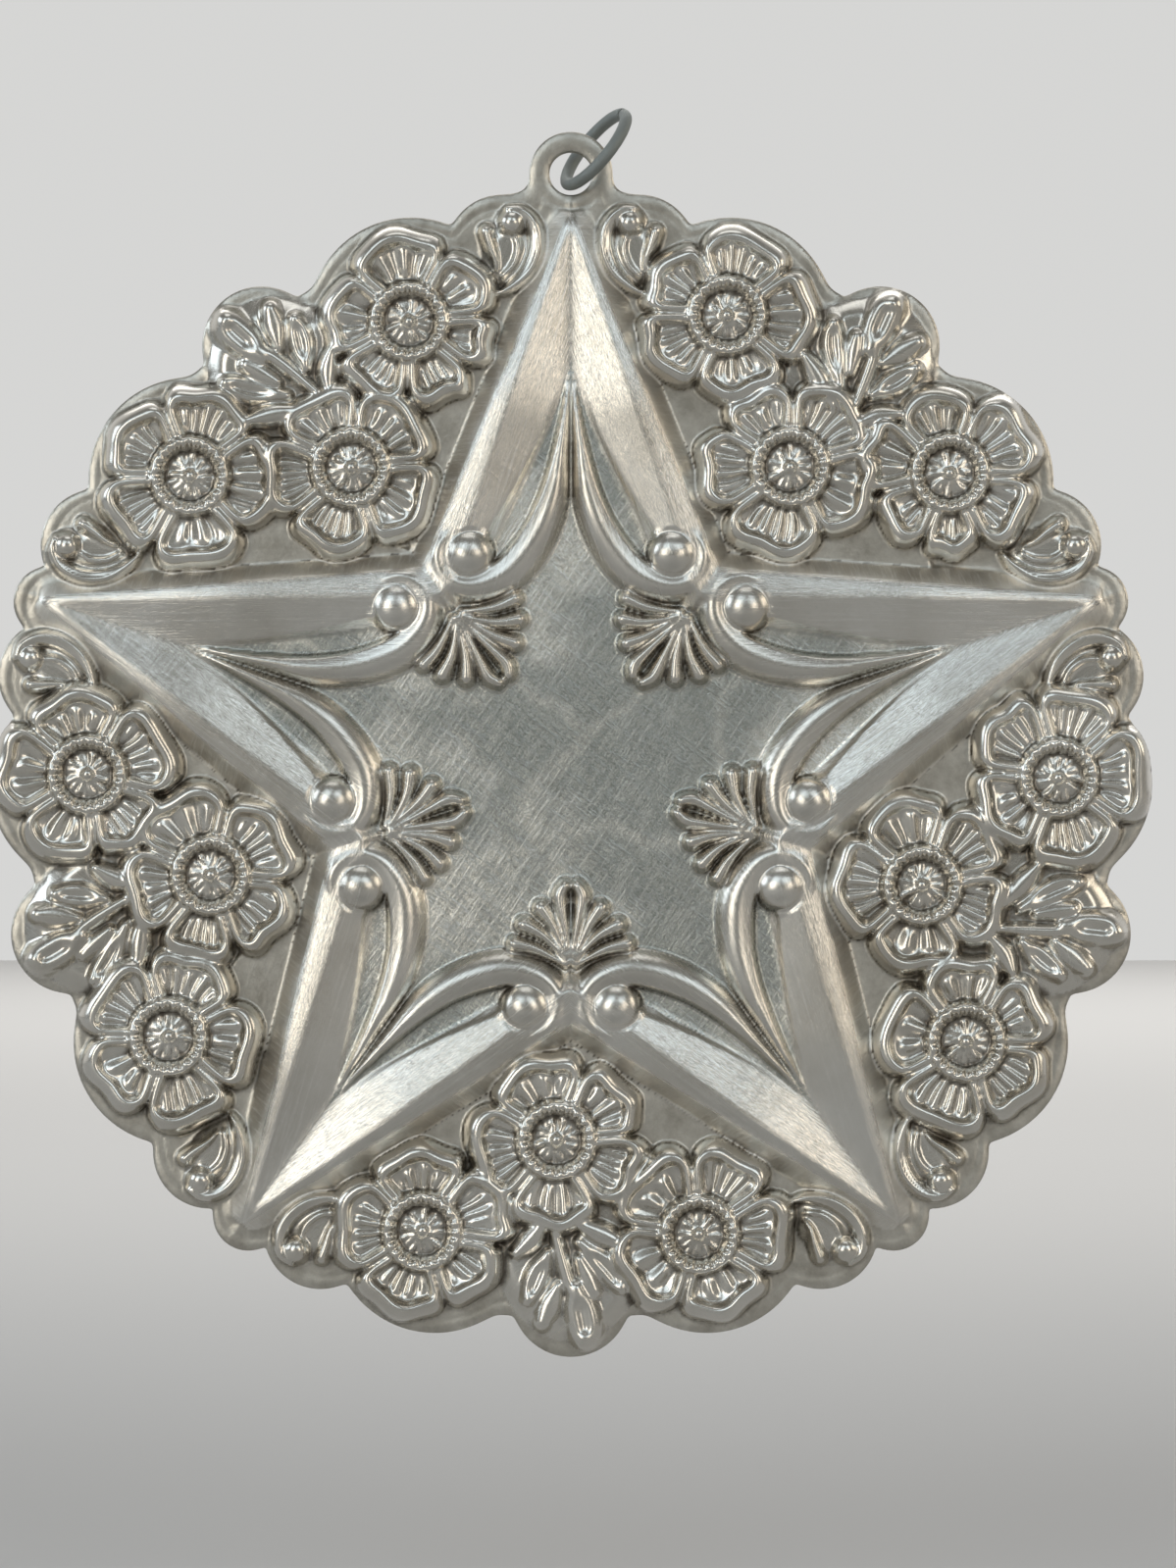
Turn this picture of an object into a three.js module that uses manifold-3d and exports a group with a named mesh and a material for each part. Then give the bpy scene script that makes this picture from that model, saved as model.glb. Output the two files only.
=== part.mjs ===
// Silver star ornament: two struck silver shells soldered back to back, with a jump ring in
// the lug. Millimetres. +Z is up, -Y is the front, and the origin is the middle of the lug's eye.
import * as THREE from 'three';
import { mergeVertices } from 'three/addons/utils/BufferGeometryUtils.js';
import Module from 'manifold-3d';

// Sheet and seam
const sheet = 0.4;
const seamThickness = 0.15;
const seamSetback = 0.12;
const seamWidth = 0.8;
const slopeAllowance = 0.3;
const rootDepth = 0.2;

// Scalloped rim: a disc with rounded lobes. Each lobe has its height above the disc, the
// radius of its round end and its direction, counted from the middle of a wedge.
// The rim blend is the softness with which the disc and its lobes meet.
const arms = 5;
const rimDisc = 39.0;
const rimLobes = [
  { above: 2.7, round: 4.2, at: 0 },
  { above: 2.4, round: 7.3, at: 16.5 },
  { above: 2.4, round: 4.0, at: 28.5 },
  { above: 2.6, round: 2.5, at: 36 },
];
const rimBlend = 0.25;
const rimPoints = 130;

// Lug: its foot stands a little above the rim's disc. A fillet and a short straight neck
// lead up from the foot to the level of the eye's middle.
const eyeRadius = 1.55;
const lugBand = 1.4;
const lugFillet = 1.3;
const lugNeck = 0.4;
const lugFootRise = 1.9;
const lugFootHeight = rimDisc + lugFootRise;
const eyeHeight = lugFootHeight + lugFillet + lugNeck;

// Star: tips and valleys of its crest, the bevel outside it and the faces inside it. The tips
// pass the rim's disc by the tip reach. Every rise is a height above the flange. The hollow
// behind a sharp tip ends sooner than behind a straight wall, by the tip stretch.
const tipReach = 0.8;
const tipRadius = rimDisc + tipReach;
const valleyRadius = 17.8;
const bevelAtTip = 1.2;
const bevelAtValley = 1.7;
const crestRise = 2.15;
const tipRise = 1.1;
const axisEnd = 29;
const fieldRise = 0.85;
const fieldValley = 14.6;
const tipStretch = 3;

// C-scrolls, two on each arm, and the bead in each curl. The tail starts as a point beside the
// arm's axis, and the curl turns round the bead between two directions.
const beadAside = 7.25;
const beadAlong = 15.45;
const beadRadius = 1.7;
const beadRise = 2.65;
const beadSides = 8;
const curlRadius = 2.5;
const curlFrom = 215;
const curlTo = 415;
const tailAside = 0.3;
const tailAlong = 27;
const tailLead = 5;
const curlLead = 3.5;
const scrollWidth = 2.7;
const scrollRise = 2.15;
const scrollFootRise = 1.1;
const tailShare = 0.12;
const curlShare = 0.2;

// Palmette between two arms: ribs fanned from a root, pointing at the centre. Along a rib stand
// its half widths, the shares of its length and the shares of its height.
const palmetteRoot = 14.3;
const palmetteRibs = 7;
const palmetteSpread = 56;
const palmetteSide = 4.8;
const palmetteMiddle = 6.2;
const palmetteRise = 2;
const palmetteFoot = 0.6;
const ribStations = [
  { along: 0.25, halfWidth: 0.15, height: 0.9 },
  { along: 0.8, halfWidth: 0.55, height: 1 },
  { along: 1, halfWidth: 0.3, height: 0.8 },
];

// Blossoms: how far inside the rim's disc, direction, and the directions of the petals. A petal's
// shoulders stand at a share of the gap to the next petal, and its walls lean in by the flare.
const blossomRadius = 6.0;
const petalShoulder = 0.22;
const petalFlare = 0.93;
const notchDepth = 1.5;
const petalRise = 2.15;
const petalHollow = 0.8;
const eyeletRadius = 3.0;
const eyeletBand = 0.45;
const eyeletRise = 2.6;
const eyeletHollow = 1.3;
const hollowSides = 8;
const blossoms = [
  { within: 5.1, at: 109.8, petals: [97, 29, -18, -58, -125, 180] },
  { within: 4.8, at: 142.2, petals: [148, 74, -3, -91, -146] },
  { within: 12.4, at: 125.9, petals: [124, 45, -36, -108, 188] },
  { within: 4.8, at: 71.1, petals: [150, 75, -2, -77, -155] },
  { within: 12.4, at: 54.2, petals: [121, 53, -21, -107, 176] },
  { within: 4.8, at: 38.2, petals: [107, 31, -38, -90, -133, 163] },
  { within: 4.7, at: 180.4, petals: [103, 20, -52, -113, 178] },
  { within: 12.4, at: 196.1, petals: [117, 34, -44, -99, -163] },
  { within: 4.8, at: 213.4, petals: [143, 71, -12, -72, -143] },
  { within: 4.4, at: -0.8, petals: [78, 6, -77, -148, 134] },
  { within: 12.8, at: -18, petals: [101, 43, -21, -93, 180] },
  { within: 5, at: -34.4, petals: [89, 31, -38, -111, 171] },
  { within: 12.8, at: -92.2, petals: [105, 32, -24, -91, -166] },
  { within: 4.7, at: -107.9, petals: [90, 18, -37, -108, 175] },
  { within: 4.9, at: -74.5, petals: [131, 62, 5, -66, -145] },
];

// Leaf spray at the rim of each wedge: leaves fanned from a root inside the rim's disc
const sprayWithin = 6;
const sprayRoot = rimDisc - sprayWithin;
const sprayLeaves = [
  { turn: 0, start: 3.2, length: 8.0, width: 2.6 },
  { turn: -28, start: 1.0, length: 6.2, width: 2.0 },
  { turn: 28, start: 1.0, length: 6.2, width: 2.0 },
  { turn: -62, start: 0.6, length: 4.6, width: 1.6 },
  { turn: 62, start: 0.6, length: 4.6, width: 1.6 },
];
const sprayRise = 1.5;
const leafStations = [
  { along: 0, halfWidth: 0.3, height: 0.7 },
  { along: 0.55, halfWidth: 0.5, height: 1 },
  { along: 1, halfWidth: 0.25, height: 0.5 },
];

// Small C-scroll beside each tip, and short of it: a crescent with a bead in its upper end,
// and a comma
const hookAside = 4.3;
const hookShort = 2.6;
const hookAlong = tipRadius - hookShort;
const hookRadius = 2.1;
const hookFrom = 80;
const hookTo = -110;
const hookWidth = 1.1;
const hookRise = 1.4;
const hookBead = 0.95;
const hookBeadShort = 0.8;
const hookBeadAlong = tipRadius - hookBeadShort;
const hookBeadRise = 1.7;
const hookBeadSides = 6;
const commaAside = 6.1;
const commaShort = 1.9;
const commaAlong = tipRadius - commaShort;
const commaSlant = 0.25;
const commaStations = [
  { along: 0.9, halfWidth: 0.5, rise: 1.2 },
  { along: 0, halfWidth: 0.7, rise: 1.5 },
  { along: -1.2, halfWidth: 0.25, rise: 0.7 },
];

// Jump ring: bent wire with a saw cut, leaning to the right. It crosses the eye off its middle,
// in the given direction, and keeps its clearance from the eye's wall.
const wireRadius = 0.44;
const wireClearance = 0.36;
const wireDirection = 257;
const ringRadius = 3.16;
const ringCut = 0.3;
const ringLean = 51.7;
const ringTwist = 19;

const flangeTop = seamThickness / 2 + sheet;
const rad = THREE.MathUtils.degToRad;
const wasm = await Module();
wasm.setup();

// A closed geometry as a solid, and a solid as a geometry
function solid(geometry) {
  const bare = geometry.index ? geometry.clone() : geometry;
  bare.deleteAttribute('normal');
  bare.deleteAttribute('uv');
  const merged = mergeVertices(bare, 1e-4);
  return new wasm.Manifold(new wasm.Mesh({
    numProp: 3,
    vertProperties: new Float32Array(merged.attributes.position.array),
    triVerts: new Uint32Array(merged.index.array),
  }));
}

function geometryOf(body) {
  const mesh = body.getMesh();
  const geometry = new THREE.BufferGeometry();
  geometry.setAttribute('position', new THREE.BufferAttribute(mesh.vertProperties, 3));
  geometry.setIndex(new THREE.BufferAttribute(mesh.triVerts, 1));
  geometry.computeVertexNormals();
  return geometry;
}

// A closed body through rings of equal count. A ring of few points is closed from its first
// point, a longer one from its middle. On a mirrored loft the quads are split alternately, so
// that both sides of a ridge are alike.
function loft(rings, mirrored = false) {
  const count = rings[0].length;
  const points = rings.flat();
  const faces = [];
  for (let r = 0; r + 1 < rings.length; r += 1) {
    for (let i = 0; i < count; i += 1) {
      const a = r * count + i;
      const b = r * count + (i + 1) % count;
      const c = a + count;
      const d = b + count;
      if (mirrored && i % 2 === 1) faces.push(a, b, c, b, d, c);
      else faces.push(a, b, d, a, d, c);
    }
  }
  const few = count < 6;
  for (const end of [0, rings.length - 1]) {
    const start = end * count;
    const middle = new THREE.Vector3();
    for (const point of rings[end]) middle.addScaledVector(point, 1 / count);
    const hub = few ? start : points.push(middle) - 1;
    for (let i = few ? 1 : 0; i < (few ? count - 1 : count); i += 1) {
      const [a, b] = [start + i, start + (i + 1) % count];
      if (end === 0) faces.push(hub, b, a);
      else faces.push(hub, a, b);
    }
  }
  let volume = 0;
  for (let f = 0; f < faces.length; f += 3) {
    const [p, q, s] = [points[faces[f]], points[faces[f + 1]], points[faces[f + 2]]];
    volume += p.dot(q.clone().cross(s));
  }
  if (volume < 0) faces.reverse();
  const geometry = new THREE.BufferGeometry();
  geometry.setFromPoints(points);
  geometry.setIndex(faces);
  return geometry;
}

// Places in the plane of the relief: from the centre, and from an arm's axis
function polar(radius, degrees, height) {
  const angle = rad(degrees);
  return new THREE.Vector3(radius * Math.cos(angle), radius * Math.sin(angle), height);
}

function beside(direction, aside, along, height) {
  const angle = rad(direction);
  return new THREE.Vector3(
    along * Math.cos(angle) + aside * Math.sin(angle),
    along * Math.sin(angle) - aside * Math.cos(angle),
    height,
  );
}

// A raised ridge along a path: half widths and heights follow the path. Its foot is sunk into
// what it stands on, so that the two join.
function ridge(path, halfWidths, heights, foot, roundTop) {
  const rings = path.map((point, i) => {
    const before = path[Math.max(i - 1, 0)];
    const after = path[Math.min(i + 1, path.length - 1)];
    const along = new THREE.Vector3(after.x - before.x, after.y - before.y, 0).normalize();
    const across = new THREE.Vector3(along.y, -along.x, 0);
    const at = (share, height) => new THREE.Vector3(point.x, point.y, height)
      .addScaledVector(across, share * halfWidths[i]);
    const shoulder = foot + 0.75 * (heights[i] - foot);
    return roundTop
      ? [at(-1, foot), at(-0.72, shoulder), at(0, heights[i]), at(0.72, shoulder), at(1, foot)]
      : [at(-1, foot), at(0, heights[i]), at(1, foot)];
  });
  return loft(rings);
}

// Rim of the flange: the reach of the disc and its lobes in one direction, softly blended
function rimRadius(degrees) {
  const wedge = 360 / arms;
  const turned = degrees - 90 - wedge / 2;
  const off = Math.abs(turned - wedge * Math.round(turned / wedge));
  let sum = 1;
  for (const lobe of rimLobes) {
    const centre = rimDisc + lobe.above - lobe.round;
    const aside = centre * Math.sin(rad(off - lobe.at));
    if (Math.abs(aside) < lobe.round) {
      const reach = centre * Math.cos(rad(off - lobe.at))
        + Math.sqrt(lobe.round ** 2 - aside ** 2);
      sum += Math.exp((reach - rimDisc) / rimBlend);
    }
  }
  return rimDisc + rimBlend * Math.log(sum);
}

function rimShape(inset) {
  const points = [];
  for (let i = 0; i < rimPoints; i += 1) {
    const angle = 90 + (360 * i) / rimPoints;
    const point = polar(rimRadius(angle) - inset, angle, 0);
    points.push(new THREE.Vector2(point.x, point.y));
  }
  return new THREE.Shape(points);
}

function lugShape(inset) {
  const half = eyeRadius + lugBand - inset;
  const foot = lugFootHeight - inset;
  const shape = new THREE.Shape();
  shape.moveTo(-half - lugFillet, foot - 2);
  shape.lineTo(-half - lugFillet, foot);
  shape.quadraticCurveTo(-half, foot, -half, foot + lugFillet);
  shape.absarc(0, eyeHeight, half, Math.PI, 0, true);
  shape.lineTo(half, foot + lugFillet);
  shape.quadraticCurveTo(half, foot, half + lugFillet, foot);
  shape.lineTo(half + lugFillet, foot - 2);
  shape.closePath();
  return shape;
}

function slab(shape, bottom, top) {
  const geometry = new THREE.ExtrudeGeometry(shape, {
    depth: top - bottom, bevelEnabled: false, curveSegments: 6,
  });
  geometry.translate(0, 0, bottom);
  return solid(geometry);
}

function post(radius, x, y, bottom, top, sides) {
  const geometry = new THREE.CylinderGeometry(radius, radius, top - bottom, sides);
  geometry.rotateX(Math.PI / 2);
  geometry.translate(x, y, (bottom + top) / 2);
  return solid(geometry);
}

// Flange with its leaf of the lug
function flange() {
  return slab(rimShape(0), seamThickness / 2, flangeTop)
    .add(slab(lugShape(0), seamThickness / 2, flangeTop))
    .subtract(post(eyeRadius, 0, eyeHeight, -1, flangeTop + 1, 24));
}

// Star body. Narrowed by the sheet's thickness and let down, it is also the hollow behind.
function starBody(inset, drop, bottom) {
  const rows = { bottom: [], foot: [], crest: [], field: [] };
  const flat = flangeTop - drop;
  for (let k = 0; k < arms; k += 1) {
    const tip = 90 + (360 / arms) * k;
    const valley = tip + 180 / arms;
    const footTip = tipRadius + bevelAtTip - tipStretch * inset;
    const footValley = valleyRadius + bevelAtValley - inset;
    rows.bottom.push(polar(footTip, tip, bottom), polar(footValley, valley, bottom));
    rows.foot.push(polar(footTip, tip, flat), polar(footValley, valley, flat));
    rows.crest.push(
      polar(tipRadius - tipStretch * inset, tip, flat + tipRise),
      polar(valleyRadius - inset / 2, valley, flat + crestRise),
    );
    rows.field.push(
      polar(axisEnd, tip, flat + fieldRise),
      polar(fieldValley, valley, flat + fieldRise),
    );
  }
  return solid(loft([rows.bottom, rows.foot, rows.crest, rows.field], true));
}

// C-scroll of one side of an arm: a tail along the axis that swings into a curl round a bead
function scroll(direction, side) {
  const onCurl = (degrees) => [
    beadAside + curlRadius * Math.cos(rad(degrees)),
    beadAlong + curlRadius * Math.sin(rad(degrees)),
  ];
  const [joinAside, joinAlong] = onCurl(curlFrom);
  const tail = new THREE.CubicBezierCurve(
    new THREE.Vector2(tailAside, tailAlong),
    new THREE.Vector2(2 * tailAside, tailAlong - tailLead),
    new THREE.Vector2(
      joinAside + curlLead * Math.sin(rad(curlFrom)),
      joinAlong - curlLead * Math.cos(rad(curlFrom)),
    ),
    new THREE.Vector2(joinAside, joinAlong),
  );
  const tailSteps = 4;
  const curlSteps = 6;
  const spots = tail.getPoints(tailSteps).map((p) => [p.x, p.y]);
  for (let i = 1; i <= curlSteps; i += 1) {
    spots.push(onCurl(curlFrom + ((curlTo - curlFrom) * i) / curlSteps));
  }
  const path = spots.map(([aside, along]) => beside(direction, side * aside, along, 0));
  const steps = path.length - 1;
  const swell = path.map((_, i) => {
    const share = i / steps;
    const least = share < 0.5 ? tailShare : curlShare;
    return least + (1 - least) * Math.sin(Math.PI * share);
  });
  const halfWidths = swell.map((s) => (s * scrollWidth) / 2);
  const heights = swell.map((s) => flangeTop + scrollFootRise + s * (scrollRise - scrollFootRise));
  return solid(ridge(path, halfWidths, heights, flangeTop + sheet, true));
}

function bead(place, radius, rise, sides) {
  const geometry = new THREE.SphereGeometry(radius, sides, 4);
  geometry.rotateX(Math.PI / 2);
  geometry.translate(place.x, place.y, flangeTop + rise - radius);
  return solid(geometry);
}

// Palmette: ribs fanned from a root between two curls towards the centre
function palmette(direction) {
  const ribs = [];
  const root = polar(palmetteRoot, direction, 0);
  for (let i = 0; i < palmetteRibs; i += 1) {
    const share = (2 * i) / (palmetteRibs - 1) - 1;
    const length = palmetteMiddle + (palmetteSide - palmetteMiddle) * share ** 2;
    const heading = direction + 180 + share * palmetteSpread;
    ribs.push(solid(ridge(
      ribStations.map(({ along }) => root.clone().add(polar(along * length, heading, 0))),
      ribStations.map(({ halfWidth }) => halfWidth),
      ribStations.map(({ height }) => flangeTop + height * palmetteRise),
      flangeTop + palmetteFoot,
      false,
    )));
  }
  return ribs;
}

// Blossom: cupped petals with notches between them, round a raised eyelet
function blossom({ within, at, petals }) {
  const centre = polar(rimDisc - within, at, 0);
  const sorted = petals.map((p) => (p + 360) % 360).sort((a, b) => a - b);
  const edge = [];
  sorted.forEach((petal, i) => {
    const next = i + 1 < sorted.length ? sorted[i + 1] : sorted[0] + 360;
    const gap = next - petal;
    edge.push({ angle: petal + petalShoulder * gap, reach: blossomRadius });
    edge.push({ angle: petal + gap / 2, reach: blossomRadius - notchDepth });
    edge.push({ angle: next - petalShoulder * gap, reach: blossomRadius });
  });
  const ringAt = (share, fixed, height) => edge.map(({ angle, reach }) => centre.clone()
    .add(polar(share * reach + fixed, angle, height)));
  const hollow = flangeTop + petalRise - petalHollow;
  return solid(loft([
    ringAt(1, 0, flangeTop - rootDepth),
    ringAt(petalFlare, 0, flangeTop + petalRise),
    ringAt(0, eyeletRadius, hollow),
    ringAt(0, eyeletRadius - eyeletBand, flangeTop + eyeletRise),
    ringAt(0, eyeletRadius - 2 * eyeletBand, flangeTop + eyeletRise - eyeletHollow),
  ]));
}

// Hollow behind a blossom
function blossomHollow({ within, at }) {
  const reach = blossomRadius - notchDepth - sheet - slopeAllowance;
  const place = polar(rimDisc - within, at, 0);
  const top = flangeTop + petalRise - petalHollow - sheet;
  return post(reach, place.x, place.y, -1, top, hollowSides);
}

function leafSpray(direction) {
  const root = polar(sprayRoot, direction, 0);
  return sprayLeaves.map(({ turn, start, length, width }) => {
    const heading = direction + turn;
    return solid(ridge(
      leafStations.map(({ along }) => root.clone()
        .add(polar(start + along * (length - start), heading, 0))),
      leafStations.map(({ halfWidth }) => halfWidth * width),
      leafStations.map(({ height }) => flangeTop + height * sprayRise),
      flangeTop - rootDepth,
      false,
    ));
  });
}

// Small C-scroll of one side of a tip
function hook(direction, side) {
  const steps = 5;
  const path = [];
  const swell = [];
  for (let i = 0; i <= steps; i += 1) {
    const angle = rad(hookFrom + ((hookTo - hookFrom) * i) / steps);
    path.push(beside(
      direction,
      side * (hookAside - hookRadius * Math.cos(angle)),
      hookAlong + hookRadius * Math.sin(angle),
      0,
    ));
    swell.push(Math.sin((Math.PI * (i + 1)) / (steps + 2)));
  }
  const foot = flangeTop - rootDepth;
  const crescent = ridge(
    path,
    swell.map((s) => (s * hookWidth) / 2),
    swell.map((s) => flangeTop + s * hookRise),
    foot,
    false,
  );
  const comma = ridge(
    commaStations.map(({ along }) => beside(
      direction,
      side * (commaAside + commaSlant * along),
      commaAlong + along,
      0,
    )),
    commaStations.map(({ halfWidth }) => halfWidth),
    commaStations.map(({ rise }) => flangeTop + rise),
    foot,
    false,
  );
  const place = beside(direction, side * hookAside, hookBeadAlong, 0);
  return [solid(crescent), solid(comma), bead(place, hookBead, hookBeadRise, hookBeadSides)];
}

// One struck shell, face towards +Z, flange underside just off the seam's middle plane
function shell() {
  const raised = [flange(), starBody(0, 0, flangeTop - rootDepth)];
  for (let k = 0; k < arms; k += 1) {
    const tip = 90 + (360 / arms) * k;
    const wedge = tip + 180 / arms;
    for (const side of [-1, 1]) {
      raised.push(scroll(tip, side), ...hook(tip, side));
      const place = beside(tip, side * beadAside, beadAlong, 0);
      raised.push(bead(place, beadRadius, beadRise, beadSides));
    }
    raised.push(...palmette(wedge), ...leafSpray(wedge));
  }
  for (const place of blossoms) raised.push(blossom(place));
  const hollows = [starBody(sheet + slopeAllowance, sheet, -1), ...blossoms.map(blossomHollow)];
  return geometryOf(wasm.Manifold.union(raised).subtract(wasm.Manifold.union(hollows)));
}

// Solder between the two flanges and between the two leaves of the lug
function solderSeam() {
  const half = seamThickness / 2;
  const body = slab(rimShape(seamSetback), -half, half)
    .add(slab(lugShape(seamSetback), -half, half))
    .subtract(post(rimDisc - seamWidth, 0, 0, -1, 1, 60))
    .subtract(post(eyeRadius + seamSetback, 0, eyeHeight, -1, 1, 24));
  return geometryOf(body);
}

// Jump ring: an arc of round wire, open by the saw cut at the end away from the eye
function jumpRing() {
  const cut = ringCut / ringRadius / 2;
  const steps = 28;
  class WirePath extends THREE.Curve {
    getPoint(t, target = new THREE.Vector3()) {
      const angle = cut + t * (2 * Math.PI - 2 * cut);
      return target.set(ringRadius * Math.cos(angle), ringRadius * Math.sin(angle), 0);
    }
  }
  const section = new THREE.Shape();
  section.absarc(0, 0, wireRadius, 0, 2 * Math.PI, false);
  const geometry = new THREE.ExtrudeGeometry(section, {
    steps, curveSegments: 4, bevelEnabled: false, extrudePath: new WirePath(),
  });
  return geometryOf(solid(geometry));
}

function silver(color, roughness) {
  return new THREE.MeshStandardMaterial({ color, roughness, metalness: 1 });
}

const ornament = new THREE.Group();

const frontShell = new THREE.Mesh(shell(), silver(0xb9b2a2, 0.3));
frontShell.name = 'front_shell';

const backShell = new THREE.Mesh(shell(), silver(0xb9b2a2, 0.35));
backShell.name = 'back_shell';

const seam = new THREE.Mesh(solderSeam(), silver(0x9c958a, 0.5));
seam.name = 'solder_seam';

// The shells are drawn lying on their backs, so each is stood up and hung below the eye
for (const piece of [frontShell, backShell, seam]) {
  piece.rotation.x = Math.PI / 2;
  piece.position.z = -eyeHeight;
}
const turnedAbout = new THREE.Group();
turnedAbout.rotation.z = Math.PI;
turnedAbout.add(backShell);

// The ring hangs in the eye by one side and leans over; its cut is at the far side
const ring = new THREE.Mesh(jumpRing(), silver(0x6f7470, 0.6));
ring.name = 'jump_ring';
const lean = rad(ringLean);
const twist = rad(ringTwist);
const towardFar = new THREE.Vector3(Math.cos(lean), 0, Math.sin(lean));
const towardFront = new THREE.Vector3(
  Math.sin(twist) * Math.sin(lean),
  -Math.cos(twist),
  -Math.sin(twist) * Math.cos(lean),
);
const ringAxis = towardFar.clone().cross(towardFront);
ring.setRotationFromMatrix(new THREE.Matrix4().makeBasis(towardFar, towardFront, ringAxis));
const crossing = polar(eyeRadius - wireRadius - wireClearance, wireDirection, 0);
ring.position.set(crossing.x, 0, crossing.y).addScaledVector(towardFar, ringRadius);

ornament.add(frontShell, turnedAbout, seam, ring);

export default ornament;
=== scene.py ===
import bpy
import math
import numpy as np
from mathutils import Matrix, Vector


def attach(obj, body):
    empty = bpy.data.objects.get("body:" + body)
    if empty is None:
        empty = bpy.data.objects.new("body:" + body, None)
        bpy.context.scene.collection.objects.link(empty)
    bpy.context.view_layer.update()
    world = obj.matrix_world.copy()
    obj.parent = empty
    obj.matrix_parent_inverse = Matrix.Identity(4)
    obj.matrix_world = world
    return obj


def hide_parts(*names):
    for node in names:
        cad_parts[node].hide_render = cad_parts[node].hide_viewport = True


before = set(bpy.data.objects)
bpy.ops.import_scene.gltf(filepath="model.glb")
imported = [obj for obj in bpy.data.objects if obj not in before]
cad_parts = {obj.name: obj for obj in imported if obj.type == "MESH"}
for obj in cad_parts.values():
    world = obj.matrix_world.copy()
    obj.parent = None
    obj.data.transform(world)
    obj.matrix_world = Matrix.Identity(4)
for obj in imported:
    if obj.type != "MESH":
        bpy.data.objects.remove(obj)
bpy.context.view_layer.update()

# The studio: the ornament hangs over a pale floor, with a pale backdrop behind it and a dimmer
# room in front. Two windows stand high in front, two panels and two lamps at the sides, one lamp
# above, and two light the backdrop and the floor. The camera looks square on at the front.
camera_aim = Vector((0.00122, 0.0, -0.0435))
camera_distance = 0.42
frame_height = 0.1118
sensor_height = 24.0
floor_height = -0.104
floor_reach = 1.6
# how bright the surroundings are, from the room in front (0) to the backdrop behind (1)
surround_tones = ((0.02, (0.23, 0.235, 0.225)), (0.5, (0.2, 0.2, 0.195)), (0.8, (0.67, 0.67, 0.66)))
room_light = (0.92, 0.95, 1.0, 1.0)
room_strength = 0.1


def put(name, data):
    """A new object in the scene."""
    made = bpy.data.objects.new(name, data)
    bpy.context.collection.objects.link(made)
    return made


def node(tree, kind, **values):
    """A shader node whose settings and sockets take the given values or are joined to the
    given sockets."""
    made = tree.nodes.new(kind)
    for key, value in values.items():
        if isinstance(value, bpy.types.NodeSocket):
            tree.links.new(value, made.inputs[key.replace("_", " ")])
        elif hasattr(made, key):
            setattr(made, key, value)
        else:
            made.inputs[key.replace("_", " ")].default_value = value
    return made


def reckon(tree, operation, *terms):
    """A sum, product or other reckoning with values and sockets."""
    made = node(tree, "ShaderNodeMath", operation=operation)
    for socket, term in zip(made.inputs, terms):
        if isinstance(term, bpy.types.NodeSocket):
            tree.links.new(term, socket)
        else:
            socket.default_value = term
    return made.outputs[0]


def toned(tree, value, tones):
    """A colour that follows a value through two or three places and their colours."""
    made = node(tree, "ShaderNodeValToRGB", Fac=value)
    stops = made.color_ramp.elements
    for stop, (at, colour) in ((stops[0], tones[0]), (stops[1], tones[-1])):
        stop.position = at
        stop.color = (*colour, 1.0)
    for at, colour in tones[1:-1]:
        stops.new(at).color = (*colour, 1.0)
    return made.outputs["Color"]


def new_finish(name, **values):
    """A material with its tree and its shader, and what is the same all over the surface."""
    made = bpy.data.materials.new(name)
    made.use_nodes = True
    shader = made.node_tree.nodes["Principled BSDF"]
    for key, value in values.items():
        shader.inputs[key.replace("_", " ")].default_value = value
    return made, made.node_tree, shader


camera_data = bpy.data.cameras.new("camera")
camera_data.sensor_fit = "VERTICAL"
camera_data.sensor_height = sensor_height
camera_data.lens = sensor_height * camera_distance / frame_height
camera_data.clip_start = 0.005
camera = put("camera", camera_data)
camera.location = camera_aim + Vector((0.0, -camera_distance, 0.0))
camera.rotation_euler = (math.radians(90.0), 0.0, 0.0)
bpy.context.scene.camera = camera
bpy.context.scene.view_settings.view_transform = "Standard"

floor_mesh = bpy.data.meshes.new("floor")
floor_mesh.from_pydata(
    [(-floor_reach, -floor_reach, 0), (floor_reach, -floor_reach, 0),
     (floor_reach, floor_reach, 0), (-floor_reach, floor_reach, 0)],
    [], [(0, 1, 2, 3)])
floor = put("floor", floor_mesh)
floor.location.z = floor_height
floor_paint, _, _ = new_finish("floor_paint", Base_Color=(0.62, 0.61, 0.595, 1.0), Roughness=0.8)
floor_mesh.materials.append(floor_paint)

world = bpy.data.worlds.new("studio")
bpy.context.scene.world = world
world.use_nodes = True
sky = world.node_tree
sky.nodes.clear()
ray = node(sky, "ShaderNodeLightPath").outputs
seen = reckon(sky, "MAXIMUM", ray["Is Camera Ray"], ray["Is Glossy Ray"])
seen = reckon(sky, "MAXIMUM", seen, ray["Is Transmission Ray"])
towards = node(sky, "ShaderNodeTexCoord").outputs["Generated"]
towards = node(sky, "ShaderNodeSeparateXYZ", Vector=towards)
backwards = node(sky, "ShaderNodeMapRange", Value=towards.outputs["Y"], From_Min=-1.0,
                 From_Max=1.0)
surround_tone = toned(sky, backwards.outputs["Result"], surround_tones)
surround = node(sky, "ShaderNodeBackground", Color=surround_tone, Strength=1.0)
soft_light = node(sky, "ShaderNodeBackground", Color=room_light, Strength=room_strength)
both = node(sky, "ShaderNodeMixShader", Fac=seen)
sky.links.new(soft_light.outputs[0], both.inputs[1])
sky.links.new(surround.outputs[0], both.inputs[2])
node(sky, "ShaderNodeOutputWorld", Surface=both.outputs[0])

backdrop_aim = (0.1, 1.1, -0.1)
floor_aim = (0.05, 0.43, -0.1)
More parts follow.
